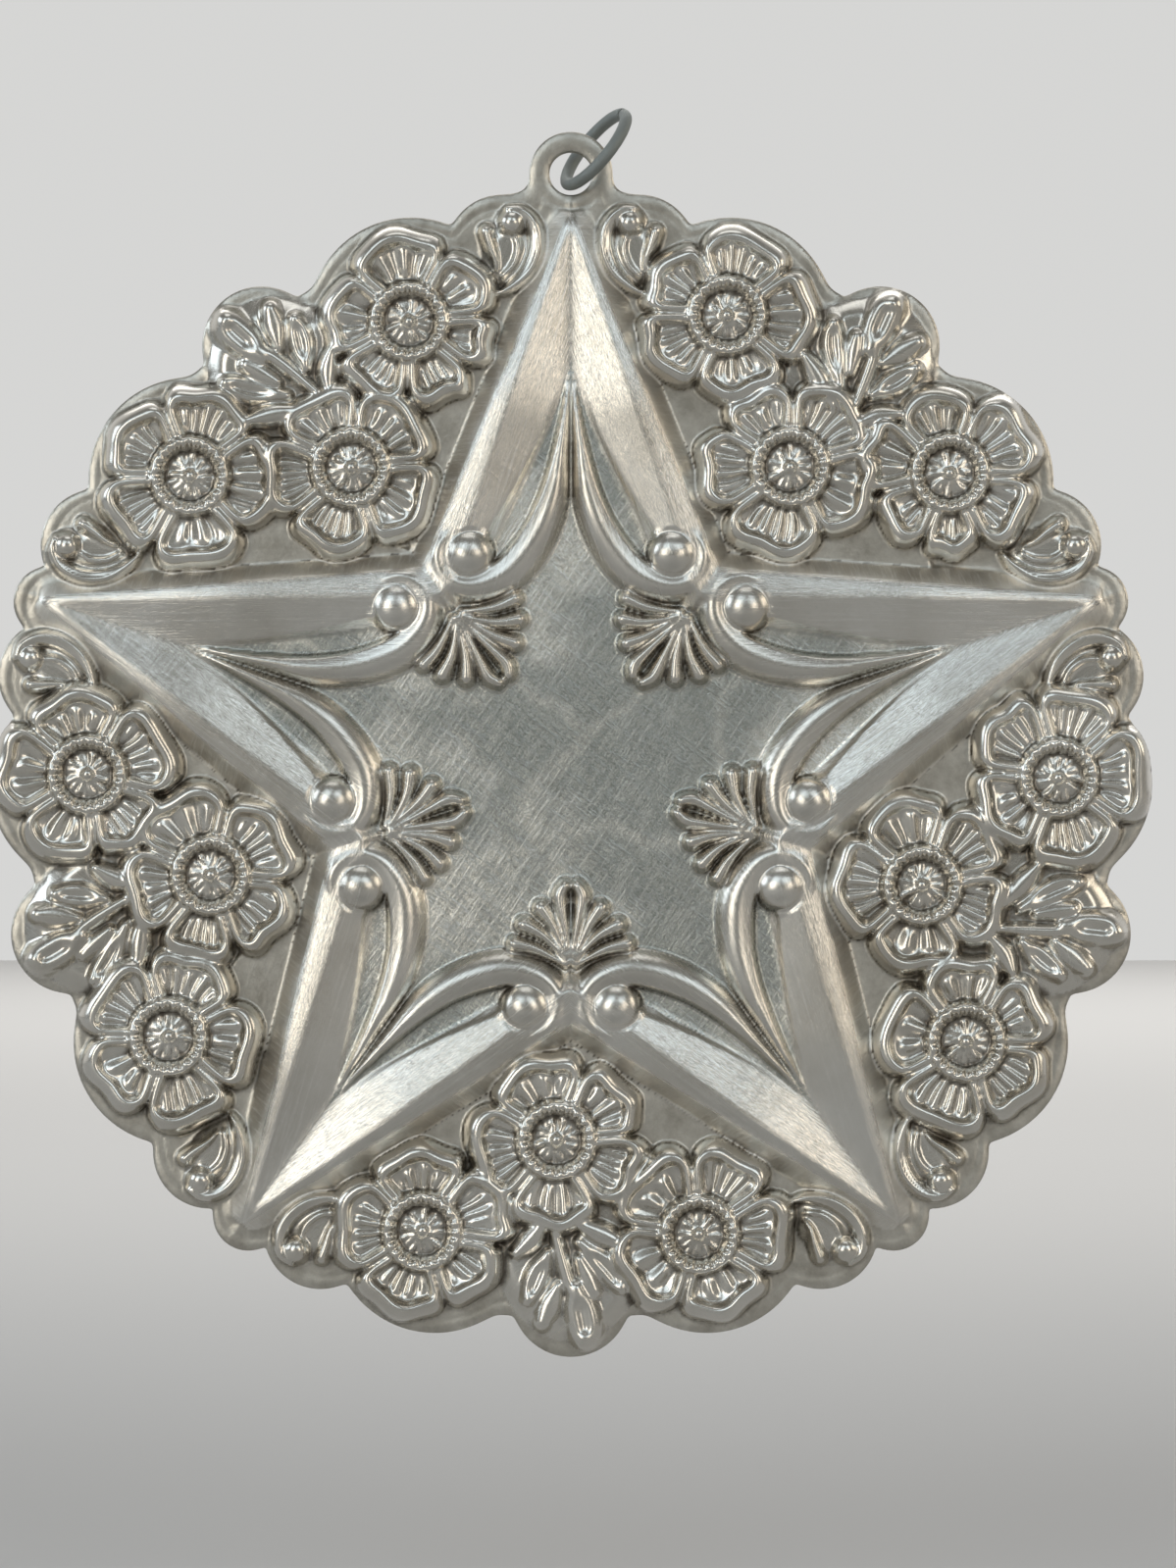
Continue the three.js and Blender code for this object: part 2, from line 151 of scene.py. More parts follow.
# name, place, aim, width, height, watts, colour, and how many degrees wide the light spreads
lamps = (
    ("left_window", (-0.42, -0.9, 0.56), camera_aim, 0.6, 0.5, 1.35, (0.74, 0.88, 1.0), 180),
    ("right_window", (0.41, -0.92, 0.53), camera_aim, 0.5, 0.42, 1.0, (0.78, 0.90, 1.0), 180),
    ("left_panel", (-0.30, -0.42, 0.03), camera_aim, 0.2, 0.2, 0.4, (1.0, 0.96, 0.88), 180),
    ("right_panel", (0.30, -0.42, 0.03), camera_aim, 0.16, 0.18, 0.2, (1.0, 0.91, 0.79), 180),
    ("left_side", (-0.8, -0.06, 0.26), camera_aim, 0.4, 0.4, 1.4, (0.79, 0.90, 1.0), 180),
    ("right_side", (0.8, -0.06, 0.24), camera_aim, 0.36, 0.4, 1.0, (1.0, 0.90, 0.75), 180),
    ("overhead", (0.0, -0.08, 0.8), camera_aim, 0.5, 0.3, 0.6, (0.95, 0.98, 1.0), 180),
    ("back_window", (0.1, 1.2, 0.8), backdrop_aim, 1.3, 0.8, 6.4, (1.0, 0.99, 0.97), 120),
    ("floor_light", (0.05, 0.4, 0.42), floor_aim, 0.6, 0.3, 0.3, (1.0, 0.99, 0.97), 90),
)
for name, place, aim, width, height, watts, colour, spread in lamps:
    lamp_data = bpy.data.lights.new(name, "AREA")
    lamp_data.shape = "RECTANGLE"
    lamp_data.size = width
    lamp_data.size_y = height
    lamp_data.energy = watts
    lamp_data.spread = math.radians(spread)
    lamp_data.color = colour
    lamp = put(name, lamp_data)
    lamp.location = place
    lamp.rotation_euler = (Vector(aim) - Vector(place)).to_track_quat("-Z", "Y").to_euler()
    lamp.visible_camera = False

# The rim of both halves: a disc with rounded lobes and a pierced lug at the top, sheared from
# one sheet. All sizes of the relief are in millimetres from the middle of the star, with u to
# the right and v up, and a rise is counted from the flat flange.
sheet = 0.4
seam_half = 0.075
flange_top = seam_half + sheet
arm_step = 72.0
top_arm = 90.0
first_wedge = 126.0
rim_disc = 39.0
rim_blend = 0.25
# the lobes of a wedge: how far out each reaches, its radius, and its place in degrees
rim_lobes = ((41.7, 4.2, 0.0), (41.4, 7.3, 16.5), (41.4, 4.0, 28.5), (41.6, 2.5, 36.0))
eye_height = 42.6
eye_radius = 1.55
lug_radius = 2.95
lug_foot = 36.0
lug_fillet = 2.2


def rim_reach(angle):
    """How far from the middle the disc's edge is."""
    turned = np.degrees(angle) - first_wedge
    off = np.abs(turned - arm_step * np.round(turned / arm_step))
    total = np.ones_like(off)
    for reach, round_end, at in rim_lobes:
        middle = reach - round_end
        aside = middle * np.sin(np.radians(off - at))
        inside = np.abs(aside) < round_end
        half = np.sqrt(np.where(inside, round_end ** 2 - aside ** 2, 0.0))
        end = middle * np.cos(np.radians(off - at)) + half
        total += np.where(inside, np.exp((end - rim_disc) / rim_blend), 0.0)
    return rim_disc + rim_blend * np.log(total)


def inside_rim(u, v):
    """How far inside the outer edge of disc and lug a place is."""
    disc = rim_reach(np.arctan2(v, u)) - np.hypot(u, v)
    lug = lug_radius - np.hypot(u, v - np.clip(v, lug_foot, eye_height))
    fillet = np.maximum(lug_fillet - np.abs(disc - lug), 0.0) ** 2 / (4.0 * lug_fillet)
    return np.maximum(disc, lug) + fillet


def inside_edge(u, v):
    """How far a place is from the nearer of the outer edge and the eye, inside the sheet."""
    in_eye = np.hypot(u, v - eye_height) - eye_radius
    return np.minimum(inside_rim(u, v), in_eye)


# The star: five arms with a raised crest. Outside the crest a bevel falls to the flange, a
# narrow band forms its top, and the wide polished faces slope down to the arm's middle.
crest_tip = 39.8
crest_lean = math.radians(22.4)
crease_tip = 39.5
crease_lean = math.radians(18.5)
tip_rise = 0.95
arm_swell = 1.15
swell_length = 15.0
tip_drop = 0.75
tip_drop_length = 0.7
face_slope = 0.33
band_slope = 0.14
bevel_width = 1.7
least_bevel = 0.4
crest_round = 0.3
field_rise = 0.85
bead_aside = 7.25
bead_along = 15.45
bead_radius = 1.68
# the groove between face and scroll runs from the arm's middle down to the bead
groove_top = 29.9
groove_length = 13.0
groove_inset = 0.25
groove_spread = 5.8
groove_curve = 1.45
groove_lean = 0.88
groove_step = 0.16
groove_slope = 0.4
bead_margin = 0.12
inner_fold = 0.12
crest_fold = 0.05


def soft_max(a, b, blend):
    return 0.5 * (a + b + np.sqrt((a - b) ** 2 + blend ** 2))


def soft_min(a, b, blend):
    return 0.5 * (a + b - np.sqrt((a - b) ** 2 + blend ** 2))


def rise_between(low, high, value):
    share = np.clip((value - low) / (high - low), 0.0, 1.0)
    return share * share * (3.0 - 2.0 * share)


def dome(off, fullness):
    """A rounded top that is 1 in the middle and 0 where off is 1."""
    return np.maximum(1.0 - off ** 2, 0.0) ** fullness


def fold_arm(u, v):
    """How far to the right of its arm's middle line a place is, and how far along it."""
    radius = np.hypot(u, v)
    angle = np.degrees(np.arctan2(v, u)) - top_arm
    off = np.radians(angle - arm_step * np.round(angle / arm_step))
    return -radius * np.sin(off), radius * np.cos(off)


def star_relief(side, along):
    """The star's rise, how far outside the crest and the crease a place is, and how far it
    is from the groove, which is below 0 there."""
    past_crest = side * math.cos(crest_lean) + (along - crest_tip) * math.sin(crest_lean)
    past_crease = side * math.cos(crease_lean) + (along - crease_tip) * math.sin(crease_lean)
    from_tip = (crest_tip - along) * math.cos(crest_lean) + side * math.sin(crest_lean)
    top = tip_rise + arm_swell * rise_between(0.0, swell_length, from_tip)
    top -= tip_drop * np.exp(-np.maximum(from_tip, 0.0) / tip_drop_length)
    face = top + face_slope * past_crease
    band = top - band_slope * past_crease
    steep = np.maximum(top, least_bevel) / bevel_width
    bevel = band - steep * 0.5 * (past_crest + np.sqrt(past_crest ** 2 + crest_round ** 2))
    run = np.clip((groove_top - along) / groove_length, 0.0, 2.0)
    past_groove = (side - groove_inset - groove_spread * run ** groove_curve) * groove_lean
    past_bead = np.hypot(side - bead_aside, along - bead_along) - bead_radius - bead_margin
    kept = np.minimum(past_groove, past_bead)
    face = face - groove_step * rise_between(0.0, 0.2, -kept)
    face = face + groove_slope * np.minimum(kept, 0.0)
    inner = soft_max(face, np.full_like(face, field_rise), inner_fold)
    return soft_min(inner, bevel, crest_fold), past_crest, past_crease, kept


# The scrolls: a fat roll that starts as a point on the arm's middle, swells, and curls round
# into a bead. It is round towards the field and has a crisp edge towards the groove. Places
# run aside and along the arm, each with the roll's half width there.
scroll_line = ((0.15, 28.2, 0.08), (0.3, 26.0, 0.28), (0.62, 23.0, 0.62), (1.1, 19.6, 1.1),
               (2.2, 16.7, 1.35), (4.3, 14.0, 1.42), (6.9, 12.95, 1.2), (8.95, 13.55, 1.02),
               (9.6, 15.3, 0.88), (8.9, 16.85, 0.7), (7.45, 17.4, 0.52), (6.0, 16.9, 0.3))
scroll_rise = 0.95
scroll_swell = 0.7
scroll_fall = 0.3
scroll_foot = 0.5
crown = 0.2
arris = 0.05
bead_foot = 1.5
bead_dome = 1.15
scroll_span = (8.0, 29.0)
scroll_side = 11.5


def stroke(path, steps):
    """Points of a smooth line through the given places, each with its half width."""
    path = np.array(path)
    spots = []
    for i in range(len(path) - 1):
        before = path[max(i - 1, 0)]
        after = path[min(i + 2, len(path) - 1)]
        share = np.linspace(0.0, 1.0, steps, endpoint=False)[:, None]
        start, end = path[i], path[i + 1]
        lead = 0.5 * (end - before)
        trail = 0.5 * (after - start)
        spots.append((2 * share ** 3 - 3 * share ** 2 + 1) * start
                     + (share ** 3 - 2 * share ** 2 + share) * lead
                     + (3 * share ** 2 - 2 * share ** 3) * end
                     + (share ** 3 - share ** 2) * trail)
    spots.append(path[-1:])
    return np.concatenate(spots)


def beside_line(x, y, line):
    """How far off a line a place is, in its half widths and plus to the left of it, and
    how far along it."""
    best = np.full(x.shape, 9.0)
    hand = np.ones(x.shape)
    share = np.zeros(x.shape)
    for i in range(len(line) - 1):
        start, end = line[i], line[i + 1]
        leg = end[:2] - start[:2]
        size = max(float(leg @ leg), 1e-9)
        t = np.clip(((x - start[0]) * leg[0] + (y - start[1]) * leg[1]) / size, 0.0, 1.0)
        gap = np.hypot(x - start[0] - t * leg[0], y - start[1] - t * leg[1])
        rel = gap / (start[2] + t * (end[2] - start[2]))
        nearer = rel < best
        best = np.where(nearer, rel, best)
        left = leg[0] * (y - start[1]) - leg[1] * (x - start[0])
        hand = np.where(nearer, np.where(left > 0.0, 1.0, -1.0), hand)
        share = np.where(nearer, (i + t) / (len(line) - 1), share)
    return best * hand, share


def scroll_relief(side, along):
    off, share = beside_line(side, along, stroke(scroll_line, 5))
    rise = scroll_rise + 0.45 * rise_between(0.0, 0.12, share)
    rise = rise + scroll_swell * rise_between(0.0, 0.33, share)
    rise -= scroll_fall * rise_between(0.7, 0.95, share)
    outer = np.clip((crown - off) / (1.0 + crown), 0.0, 1.0)
    inner = np.clip((off - crown) / (1.0 - crown), 0.0, 1.0)
    full = np.where(off < crown, (1.0 - outer ** 2) ** 0.75, 1.0 - 0.3 * inner ** 1.6)
    full = full + arris * np.exp(-((off - 0.9) / 0.09) ** 2)
    full = full * (1.0 - rise_between(0.93, 1.12, off))
    roll = np.where(np.abs(off) < 1.15, scroll_foot + (rise - scroll_foot) * full, 0.3)
    gap = np.hypot(side - bead_aside, along - bead_along) / bead_radius
    bead = np.where(gap < 1.0, bead_foot + bead_dome * dome(gap, 0.6),
                    bead_foot - 5.0 * (gap - 1.0))
    return np.maximum(roll, bead)


# The palmettes: eight thick ribs fanned between two curls, round at their ends, pointing at
# the middle of the star. The two middle ribs close round a hollow. Places run aside and on
# from the root, each with the rib's half width.
palmette_root = 14.2
palmette_side = (
    ((0.3, 0.3, 0.14), (1.2, 0.95, 0.32), (2.6, 1.65, 0.52), (4.0, 1.95, 0.66)),
    ((0.2, 0.4, 0.14), (1.0, 1.6, 0.32), (2.1, 2.65, 0.54), (3.35, 3.3, 0.72)),
    ((0.1, 0.5, 0.14), (0.7, 2.0, 0.32), (1.35, 3.4, 0.56), (2.1, 4.5, 0.72)),
    ((0.0, 0.6, 0.14), (0.28, 2.3, 0.32), (0.6, 4.0, 0.52), (0.8, 5.3, 0.66), (0.45, 6.1, 0.55)),
)
rib_foot = 0.75
rib_rise = 2.05
rib_fullness = 0.6
flank_slope = 2.5
palmette_span = (6.5, 15.0)
palmette_half = 5.2


def roll_relief(x, y, path, foot, rise, fullness):
    """Height of a rounded ridge along a line."""
    off, _ = beside_line(x, y, stroke(path, 4))
    off = np.abs(off)
    height = foot + (rise - foot) * dome(off, fullness)
    return np.where(off < 1.0, height, foot - flank_slope * (off - 1.0))


def palmette_relief(x, y):
    best = np.full(x.shape, -1.0)
    for rib in palmette_side:
        for hand in (-1.0, 1.0):
            ridge = roll_relief(hand * x, y, rib, rib_foot, rib_rise, rib_fullness)
            best = np.maximum(best, ridge)
    return best


# The blossoms: cupped petals with a rolled edge and short chased lines, round a notched
# eyelet with a rayed button in it. No two have the same petals.
# Each row has the way out from the star's middle, its bearing, and the petals' bearings.
blossoms = (
    (33.9, 109.8, (97, 29, -18, -58, -125, 180)), (34.2, 142.2, (148, 74, -3, -91, -146)),
    (26.6, 125.9, (124, 45, -36, -108, 188)), (34.2, 71.1, (150, 75, -2, -77, -155)),
    (26.6, 54.2, (121, 53, -21, -107, 176)), (34.2, 38.2, (107, 31, -38, -90, -133, 163)),
    (34.3, 180.4, (103, 20, -52, -113, 178)), (26.6, 196.1, (117, 34, -44, -99, -163)),
    (34.2, 213.4, (143, 71, -12, -72, -143)), (34.6, -0.8, (78, 6, -77, -148, 134)),
    (26.2, -18.0, (101, 43, -21, -93, 180)), (34.0, -34.4, (89, 31, -38, -111, 171)),
    (26.2, -92.2, (105, 32, -24, -91, -166)), (34.3, -107.9, (90, 18, -37, -108, 175)),
    (34.1, -74.5, (131, 62, 5, -66, -145)),
)
blossom_radius = 6.1
blossom_margin = 1.9
narrow_petal = 55
petal_lip = 0.42
lip_width = 0.58
lip_rise = 2.1
petal_wall = 1.1
petal_floor = 1.3
chasing_depth = 0.2
button_radius = 1.84
button_rise = 1.32
ray_depth = 0.24
boss_radius = 0.45
boss_rise = 1.55
eyelet_radius = 2.36
eyelet_half = 0.56
eyelet_end = 2.9
eyelet_foot = 1.7
eyelet_dome = 0.85
notch_depth = 0.6
notches = 21.0


def petal_relief(reach, share, half, size, i, dice):
    """One petal. share runs from -1 at one side of it to 1 at the other, and half is how many
    degrees wide that side is."""
    wave = 0.03 * np.cos(share * dice.uniform(4.0, 7.0) + dice.uniform(0.0, 6.0))
    edge = size * (1.0 - 0.05 * share ** 2 - 0.17 * np.abs(share) ** 6 + wave)
    inward = edge - reach
    sideways = reach * np.sin(np.radians(np.clip((1.0 - np.abs(share)) * half, -60, 80)))
    near = soft_min(np.maximum(inward, petal_lip), sideways * 1.15 + 0.06, 0.35)
    floor = petal_floor + 0.2 * np.clip((reach - 3.0) / 3.0, 0.0, 1.0)
    # the chased lines run outwards, waver a little, and stop short of the lip
    lines = dice.integers(4, 8)
    ray = np.cos(np.pi * lines * share * (1.0 + 0.06 * np.sin(2.0 * reach + i)) + i)
    long = 0.5 + 0.5 * np.sin(5.0 * share + dice.uniform(0.0, 6.0))
    ends = dice.uniform(0.85, 1.5)
    where = rise_between(ends - 0.2, ends + 0.3, near + 0.3 * long)
    where = where * rise_between(3.0, 3.8, reach + 0.7 * long)
    floor = floor + chasing_depth * np.sign(ray) * np.abs(ray) ** 1.3 * where
    # the lip is rolled over, and its outer wall is plump
    rim = lip_rise + 0.16 * np.cos(2.3 * share + dice.uniform(0.0, 6.0))
    roll = rim - ((near - petal_lip) / lip_width) ** 2
    petal_top = np.where(near < petal_lip, np.maximum(roll, rim - petal_wall),
                         np.maximum(floor, roll))
    outside = np.clip((petal_lip - inward) / petal_wall, 0.0, 1.0)
    petal_top = petal_top - rim * (1.0 - (1.0 - outside ** 2) ** 0.6)
    petal_top -= 2.0 * np.maximum(-inward - 0.6, 0.0)
    return petal_top


def eyelet_relief(reach, angle, seed):
    """The notched ring in the middle of a blossom, with the rayed button and boss in it."""
    lump = np.degrees(0.035 * np.sin(np.radians(angle) * 5.0 + seed))
    notch = 0.5 - 0.5 * np.cos(np.radians(angle + lump) * notches + seed)
    ring = eyelet_foot + eyelet_dome * dome((reach - eyelet_radius) / eyelet_half, 0.7)
    ring -= notch_depth * notch ** 2 * (1.0 - rise_between(2.2, 2.62, reach))
    button = button_rise + 0.28 * np.clip(1.0 - reach / 1.8, 0.0, 1.0)
    turn = np.radians(angle)
    turn = turn + 0.1 * np.sin(3.0 * turn + seed) + 0.05 * np.sin(7.0 * turn + 2.0 * seed)
    uneven = 0.7 + 0.3 * np.sin(4.0 * turn + 1.7 * seed)
    ray = np.cos(turn * 15.0 + 0.6 * np.sin(3.0 * reach + seed))
    ends = 1.6 + 0.2 * np.sin(6.0 * turn + seed)
    where = rise_between(0.35, 0.75, reach) * (1.0 - rise_between(ends - 0.25, ends, reach))
    button += ray_depth * np.sign(ray) * np.abs(ray) ** 0.6 * uneven * where
    boss = boss_rise + 0.3 * np.sqrt(np.maximum(1.0 - (reach / boss_radius) ** 2, 0.0))
    middle = np.where(reach < boss_radius, np.maximum(button, boss), button)
    return np.where(reach > button_radius, ring, middle)


def blossom_relief(x, y, petals, seed):
    dice = np.random.default_rng(seed)
    reach = np.hypot(x, y)
    angle = np.degrees(np.arctan2(y, x))
    order = sorted(petal % 360.0 for petal in petals)
    best = np.full(x.shape, -1.5)
    for i, petal in enumerate(order):
        after = (order[(i + 1) % len(order)] - petal) % 360.0 / 2.0
        before = (petal - order[i - 1]) % 360.0 / 2.0
        off = (angle - petal + 180.0) % 360.0 - 180.0
        share = np.where(off > 0, off / after, off / before)
        half = np.where(off > 0, after, before)
        size = blossom_radius * dice.uniform(0.95, 1.04)
        size = size * (0.93 if after + before < narrow_petal else 1.0)
        part = petal_relief(reach, share, half, size, i, dice)
        best = np.where(np.abs(share) <= 1.0, np.maximum(best, part), best)
    return np.where(reach < eyelet_end, eyelet_relief(reach, angle, seed), best)


# The leaf spray of each wedge: a thin stem with plump buds and leaves on both sides and a
# looped leaf with a narrow hollow at its end. Places run outwards and across the wedge.
spray = (
    ((32.4, -1.2, 0.4), (35.2, -0.5, 0.6), (37.0, 0.1, 0.5)),
    ((36.7, 0.4, 0.7), (38.0, 0.7, 1.25), (39.4, 1.0, 1.3), (40.2, 1.0, 0.9)),
    ((36.5, -0.9, 0.45), (37.9, -1.5, 0.95), (39.1, -2.0, 0.7)),
    ((34.2, -1.6, 0.45), (35.9, -2.4, 1.0), (37.5, -3.0, 0.6)),
    ((32.0, -2.0, 0.45), (33.2, -2.8, 0.9), (34.2, -3.9, 0.5)),
    ((34.6, 0.6, 0.45), (35.9, 1.2, 0.8), (36.9, 1.7, 0.6)),
    ((33.4, 0.6, 0.45), (35.3, 2.6, 1.0), (36.7, 3.6, 0.6)),
    ((31.9, 0.2, 0.45), (32.9, 2.2, 0.95), (33.6, 3.9, 0.5)),
)
hollow_leaves = (1, 3, 6)
hollow_depth = 0.45
leaf_foot = 0.75
leaf_rise = 1.0
leaf_fullness = 0.55
leaf_fold = 0.14
spray_middle = 33.7
spray_long = 6.3
spray_wide = 5.0
spray_foot = 26.5
spray_half = 5.7


def spray_relief(outward, across):
    mound = np.hypot((outward - spray_middle) / spray_long, across / spray_wide)
    best = 1.0 - rise_between(0.85, 1.2, mound) - 0.1
    for i, leaf in enumerate(spray):
        off, share = beside_line(outward, across, stroke(leaf, 4))
        full = dome(off, leaf_fullness)
        rise = leaf_rise + 0.14 * math.sin(2.0 * i)
        height = np.where(full > 0.0, leaf_foot + rise * full,
                          leaf_foot - 2.2 * (np.abs(off) - 1.0))
        if i in hollow_leaves:
            slit = np.exp(-(off / 0.3) ** 2) * rise_between(0.15, 0.4, share)
            height -= hollow_depth * slit * (1.0 - rise_between(0.7, 0.95, share))
        best = soft_max(best, height, leaf_fold)
    return best


# The hook beside each tip: a channelled crescent that closes on a bead, and a smaller bead
# with a tail outside it, on a low mound. Places run aside and along the arm.
hook_line = ((4.6, 40.0, 0.2), (3.5, 39.85, 0.42), (2.65, 38.8, 0.58), (2.45, 37.2, 0.66),
             (3.05, 35.6, 0.62), (4.3, 34.4, 0.4), (5.3, 33.9, 0.15))
hook_inner = ((4.1, 38.4, 0.2), (3.75, 37.2, 0.36), (4.1, 36.0, 0.36), (4.9, 35.2, 0.2))
drop_line = ((6.0, 38.4, 0.6), (5.75, 37.5, 0.5), (5.35, 36.4, 0.28), (5.3, 35.6, 0.12))
hook_foot = 0.3
hook_rise = 1.2
channel_depth = 0.32
inner_rise = 1.05
drop_rise = 1.45
hook_fullness = 0.75
hook_bead = (4.2, 39.0)
hook_bead_radius = 0.9
hook_bead_foot = 0.75
hook_bead_dome = 0.95
hook_mound = (4.4, 36.8)
hook_span = 33.0
hook_side = 8.6


def hook_relief(side, along):
    off, share = beside_line(side, along, stroke(hook_line, 4))
    full = dome(off, hook_fullness)
    channel = np.exp(-((off - 0.15) / 0.22) ** 2) * np.sin(np.pi * np.clip(share, 0.0, 1.0))
    crescent = np.where(full > 0.0, hook_foot + hook_rise * full - channel_depth * channel,
                        hook_foot - 2.0 * (np.abs(off) - 1.0))
    inner = roll_relief(side, along, hook_inner, hook_foot, inner_rise, hook_fullness)
    drop = roll_relief(side, along, drop_line, hook_foot, drop_rise, hook_fullness)
    gap = np.hypot(side - hook_bead[0], along - hook_bead[1]) / hook_bead_radius
    ball = np.sqrt(np.maximum(1.0 - gap ** 2, 0.0))
    bead = np.where(gap < 1.0, hook_bead_foot + hook_bead_dome * ball,
                    hook_bead_foot - 2.0 * (gap - 1.0))
    mound = np.hypot((side - hook_mound[0]) / 2.5, (along - hook_mound[1]) / 3.6)
    mound = 0.85 * (1.0 - rise_between(0.35, 1.0, mound)) - 0.1
    return np.maximum(np.maximum(crescent, inner), np.maximum(np.maximum(drop, bead), mound))


# Striking the sheet: all the motifs are pressed into one sheet in one blow. The sheet is
# polished on the star, left duller on the blossoms and matt on the flange, and tarnish has
# settled in the hollows.
star_polish = 1.0
rolled_polish = 0.78
leaf_polish = 0.8
blossom_polish = 0.85
star_brushed = 1.0
rolled_brushed = 0.5
rest_brushed = 0.12
button_stain = 0.15
# a star or motif stands where it rises this much over the flange
star_above = 0.15
motif_above = 0.1
star_fold = 0.12
crisp_fold = 0.05
motif_fold = 0.06
edge_droop = 0.13
edge_line = 0.05


def struck_relief(u, v):
    """The height of the struck sheet, and how polished, plain, brushed and stained it is."""
    height = 0.02 * np.sin(1.1 * u + 0.7) * np.sin(0.9 * v + 0.3 * u)
    polish = np.zeros_like(height)
    aside, along = fold_arm(u, v)
    side = np.abs(aside)
    star, past_crest, past_crease, kept = star_relief(side, along)
    height = soft_max(height, star, star_fold)
    polish = np.where(star > star_above, star_polish, polish)
    plain = np.where((kept < -0.3) & (star < field_rise + 0.12), 1.0, 0.0)

    here = (along > scroll_span[0]) & (along < scroll_span[1]) & (side < scroll_side)
    scrolls = scroll_relief(side[here], along[here])
    height[here] = soft_max(height[here], scrolls, crisp_fold)
    plain[here] = np.where(scrolls > field_rise, 0.0, plain[here])

    angle = np.degrees(np.arctan2(v, u)) - first_wedge
    off = np.radians(angle - arm_step * np.round(angle / arm_step))
    radius = np.hypot(u, v)
    across, outward = radius * np.sin(off), radius * np.cos(off)
    here = (outward > palmette_span[0]) & (outward < palmette_span[1])
    here &= np.abs(across) < palmette_half
    ribs = palmette_relief(across[here], palmette_root - outward[here])
    height[here] = soft_max(height[here], ribs, crisp_fold)
    plain[here] = np.where(ribs > 0.8, 0.0, plain[here])

    here = (along > hook_span) & (side < hook_side)
    hooks = hook_relief(side[here], along[here])
    height[here] = soft_max(height[here], hooks, motif_fold)
    polish[here] = np.where(hooks > motif_above, leaf_polish, polish[here])

    here = (outward > spray_foot) & (np.abs(across) < spray_half)
    leaves = spray_relief(outward[here], across[here])
    height[here] = soft_max(height[here], leaves, motif_fold)
    polish[here] = np.where(leaves > motif_above, leaf_polish, polish[here])

    stain = np.zeros_like(height)
    for seed, (out, at, petals) in enumerate(blossoms):
        x = u - out * math.cos(math.radians(at))
        y = v - out * math.sin(math.radians(at))
        here = np.hypot(x, y) < blossom_radius + blossom_margin
        flower = blossom_relief(x[here], y[here], petals, seed)
        height[here] = soft_max(height[here], flower, motif_fold)
        polish[here] = np.where(flower > motif_above, blossom_polish, polish[here])
        on_button = np.hypot(x[here], y[here]) < button_radius
        stain[here] = np.where(on_button, button_stain, stain[here])

    edge = inside_edge(u, v)
    height -= edge_droop * np.clip(1.0 - edge / 0.6, 0.0, 1.0) ** 2
    height -= edge_line * np.exp(-((edge - 0.95) / 0.12) ** 2)
    bare_star = (height < star + 0.1) & (star > star_above)
    chatter = np.where(bare_star, rise_between(0.0, 0.35, past_crest), 0.0)
    rolled = (polish > 0.9) & ~bare_star
    brushed = np.where(bare_star, star_brushed, np.where(rolled, rolled_brushed, rest_brushed))
    polish = np.where(rolled, rolled_polish, polish)
    marks = {"polish": polish, "plain": plain, "chatter": chatter, "brushed": brushed}
    return height, stain, marks, np.stack([past_crease, along, aside], axis=-1)


def softened(height, pitch, spread):
    """The relief as a very soft sheet would take it, to tell hollows from ridges."""
    rows, columns = height.shape
    fu = np.fft.fftfreq(rows, pitch)[:, None]
    fv = np.fft.rfftfreq(columns, pitch)[None, :]
    damp = np.exp(-2.0 * (math.pi * spread) ** 2 * (fu ** 2 + fv ** 2))
    return np.fft.irfft2(np.fft.rfft2(height) * damp, s=height.shape)


motif_tarnish = 0.86
flange_tarnish = 0.5
rolled_tarnish = 0.95
star_tarnish = 0.5
bevel_rubbing = 0.8


def settled_tarnish(height, pitch, marks):
    """How much tarnish lies in the hollows. Half of it is rubbed off the star, and more of it
    off the bevels."""
    narrow = softened(height, pitch, 0.38) - height
    wide = softened(height, pitch, 1.2) - height
    on_flange = flange_tarnish * rise_between(0.1, 0.7, narrow + 0.1 * wide)
    on_motifs = motif_tarnish * rise_between(0.06, 0.68, narrow + 0.35 * wide)
    on_rolled = rolled_tarnish * rise_between(0.05, 0.55, narrow + 0.3 * wide)
    soil = np.where(marks["polish"] > 0.2, on_motifs, on_flange)
    soil = np.where(marks["polish"] == rolled_polish, on_rolled, soil)
    on_star = star_tarnish * soil * (1.0 - bevel_rubbing * marks["chatter"])
    return np.where(marks["brushed"] > rolled_brushed, on_star, soil)


sheet_half = 42.6
sheet_top = 46.4
sheet_softness = 0.075
nudge = 1e-3


def edge_lean(u, v):
    """How far inside the sheared edge a place is, and how that grows to the right and up."""
    off = inside_edge(u, v)
    return (off, (inside_edge(u + nudge, v) - off) / nudge,
            (inside_edge(u, v + nudge) - off) / nudge)


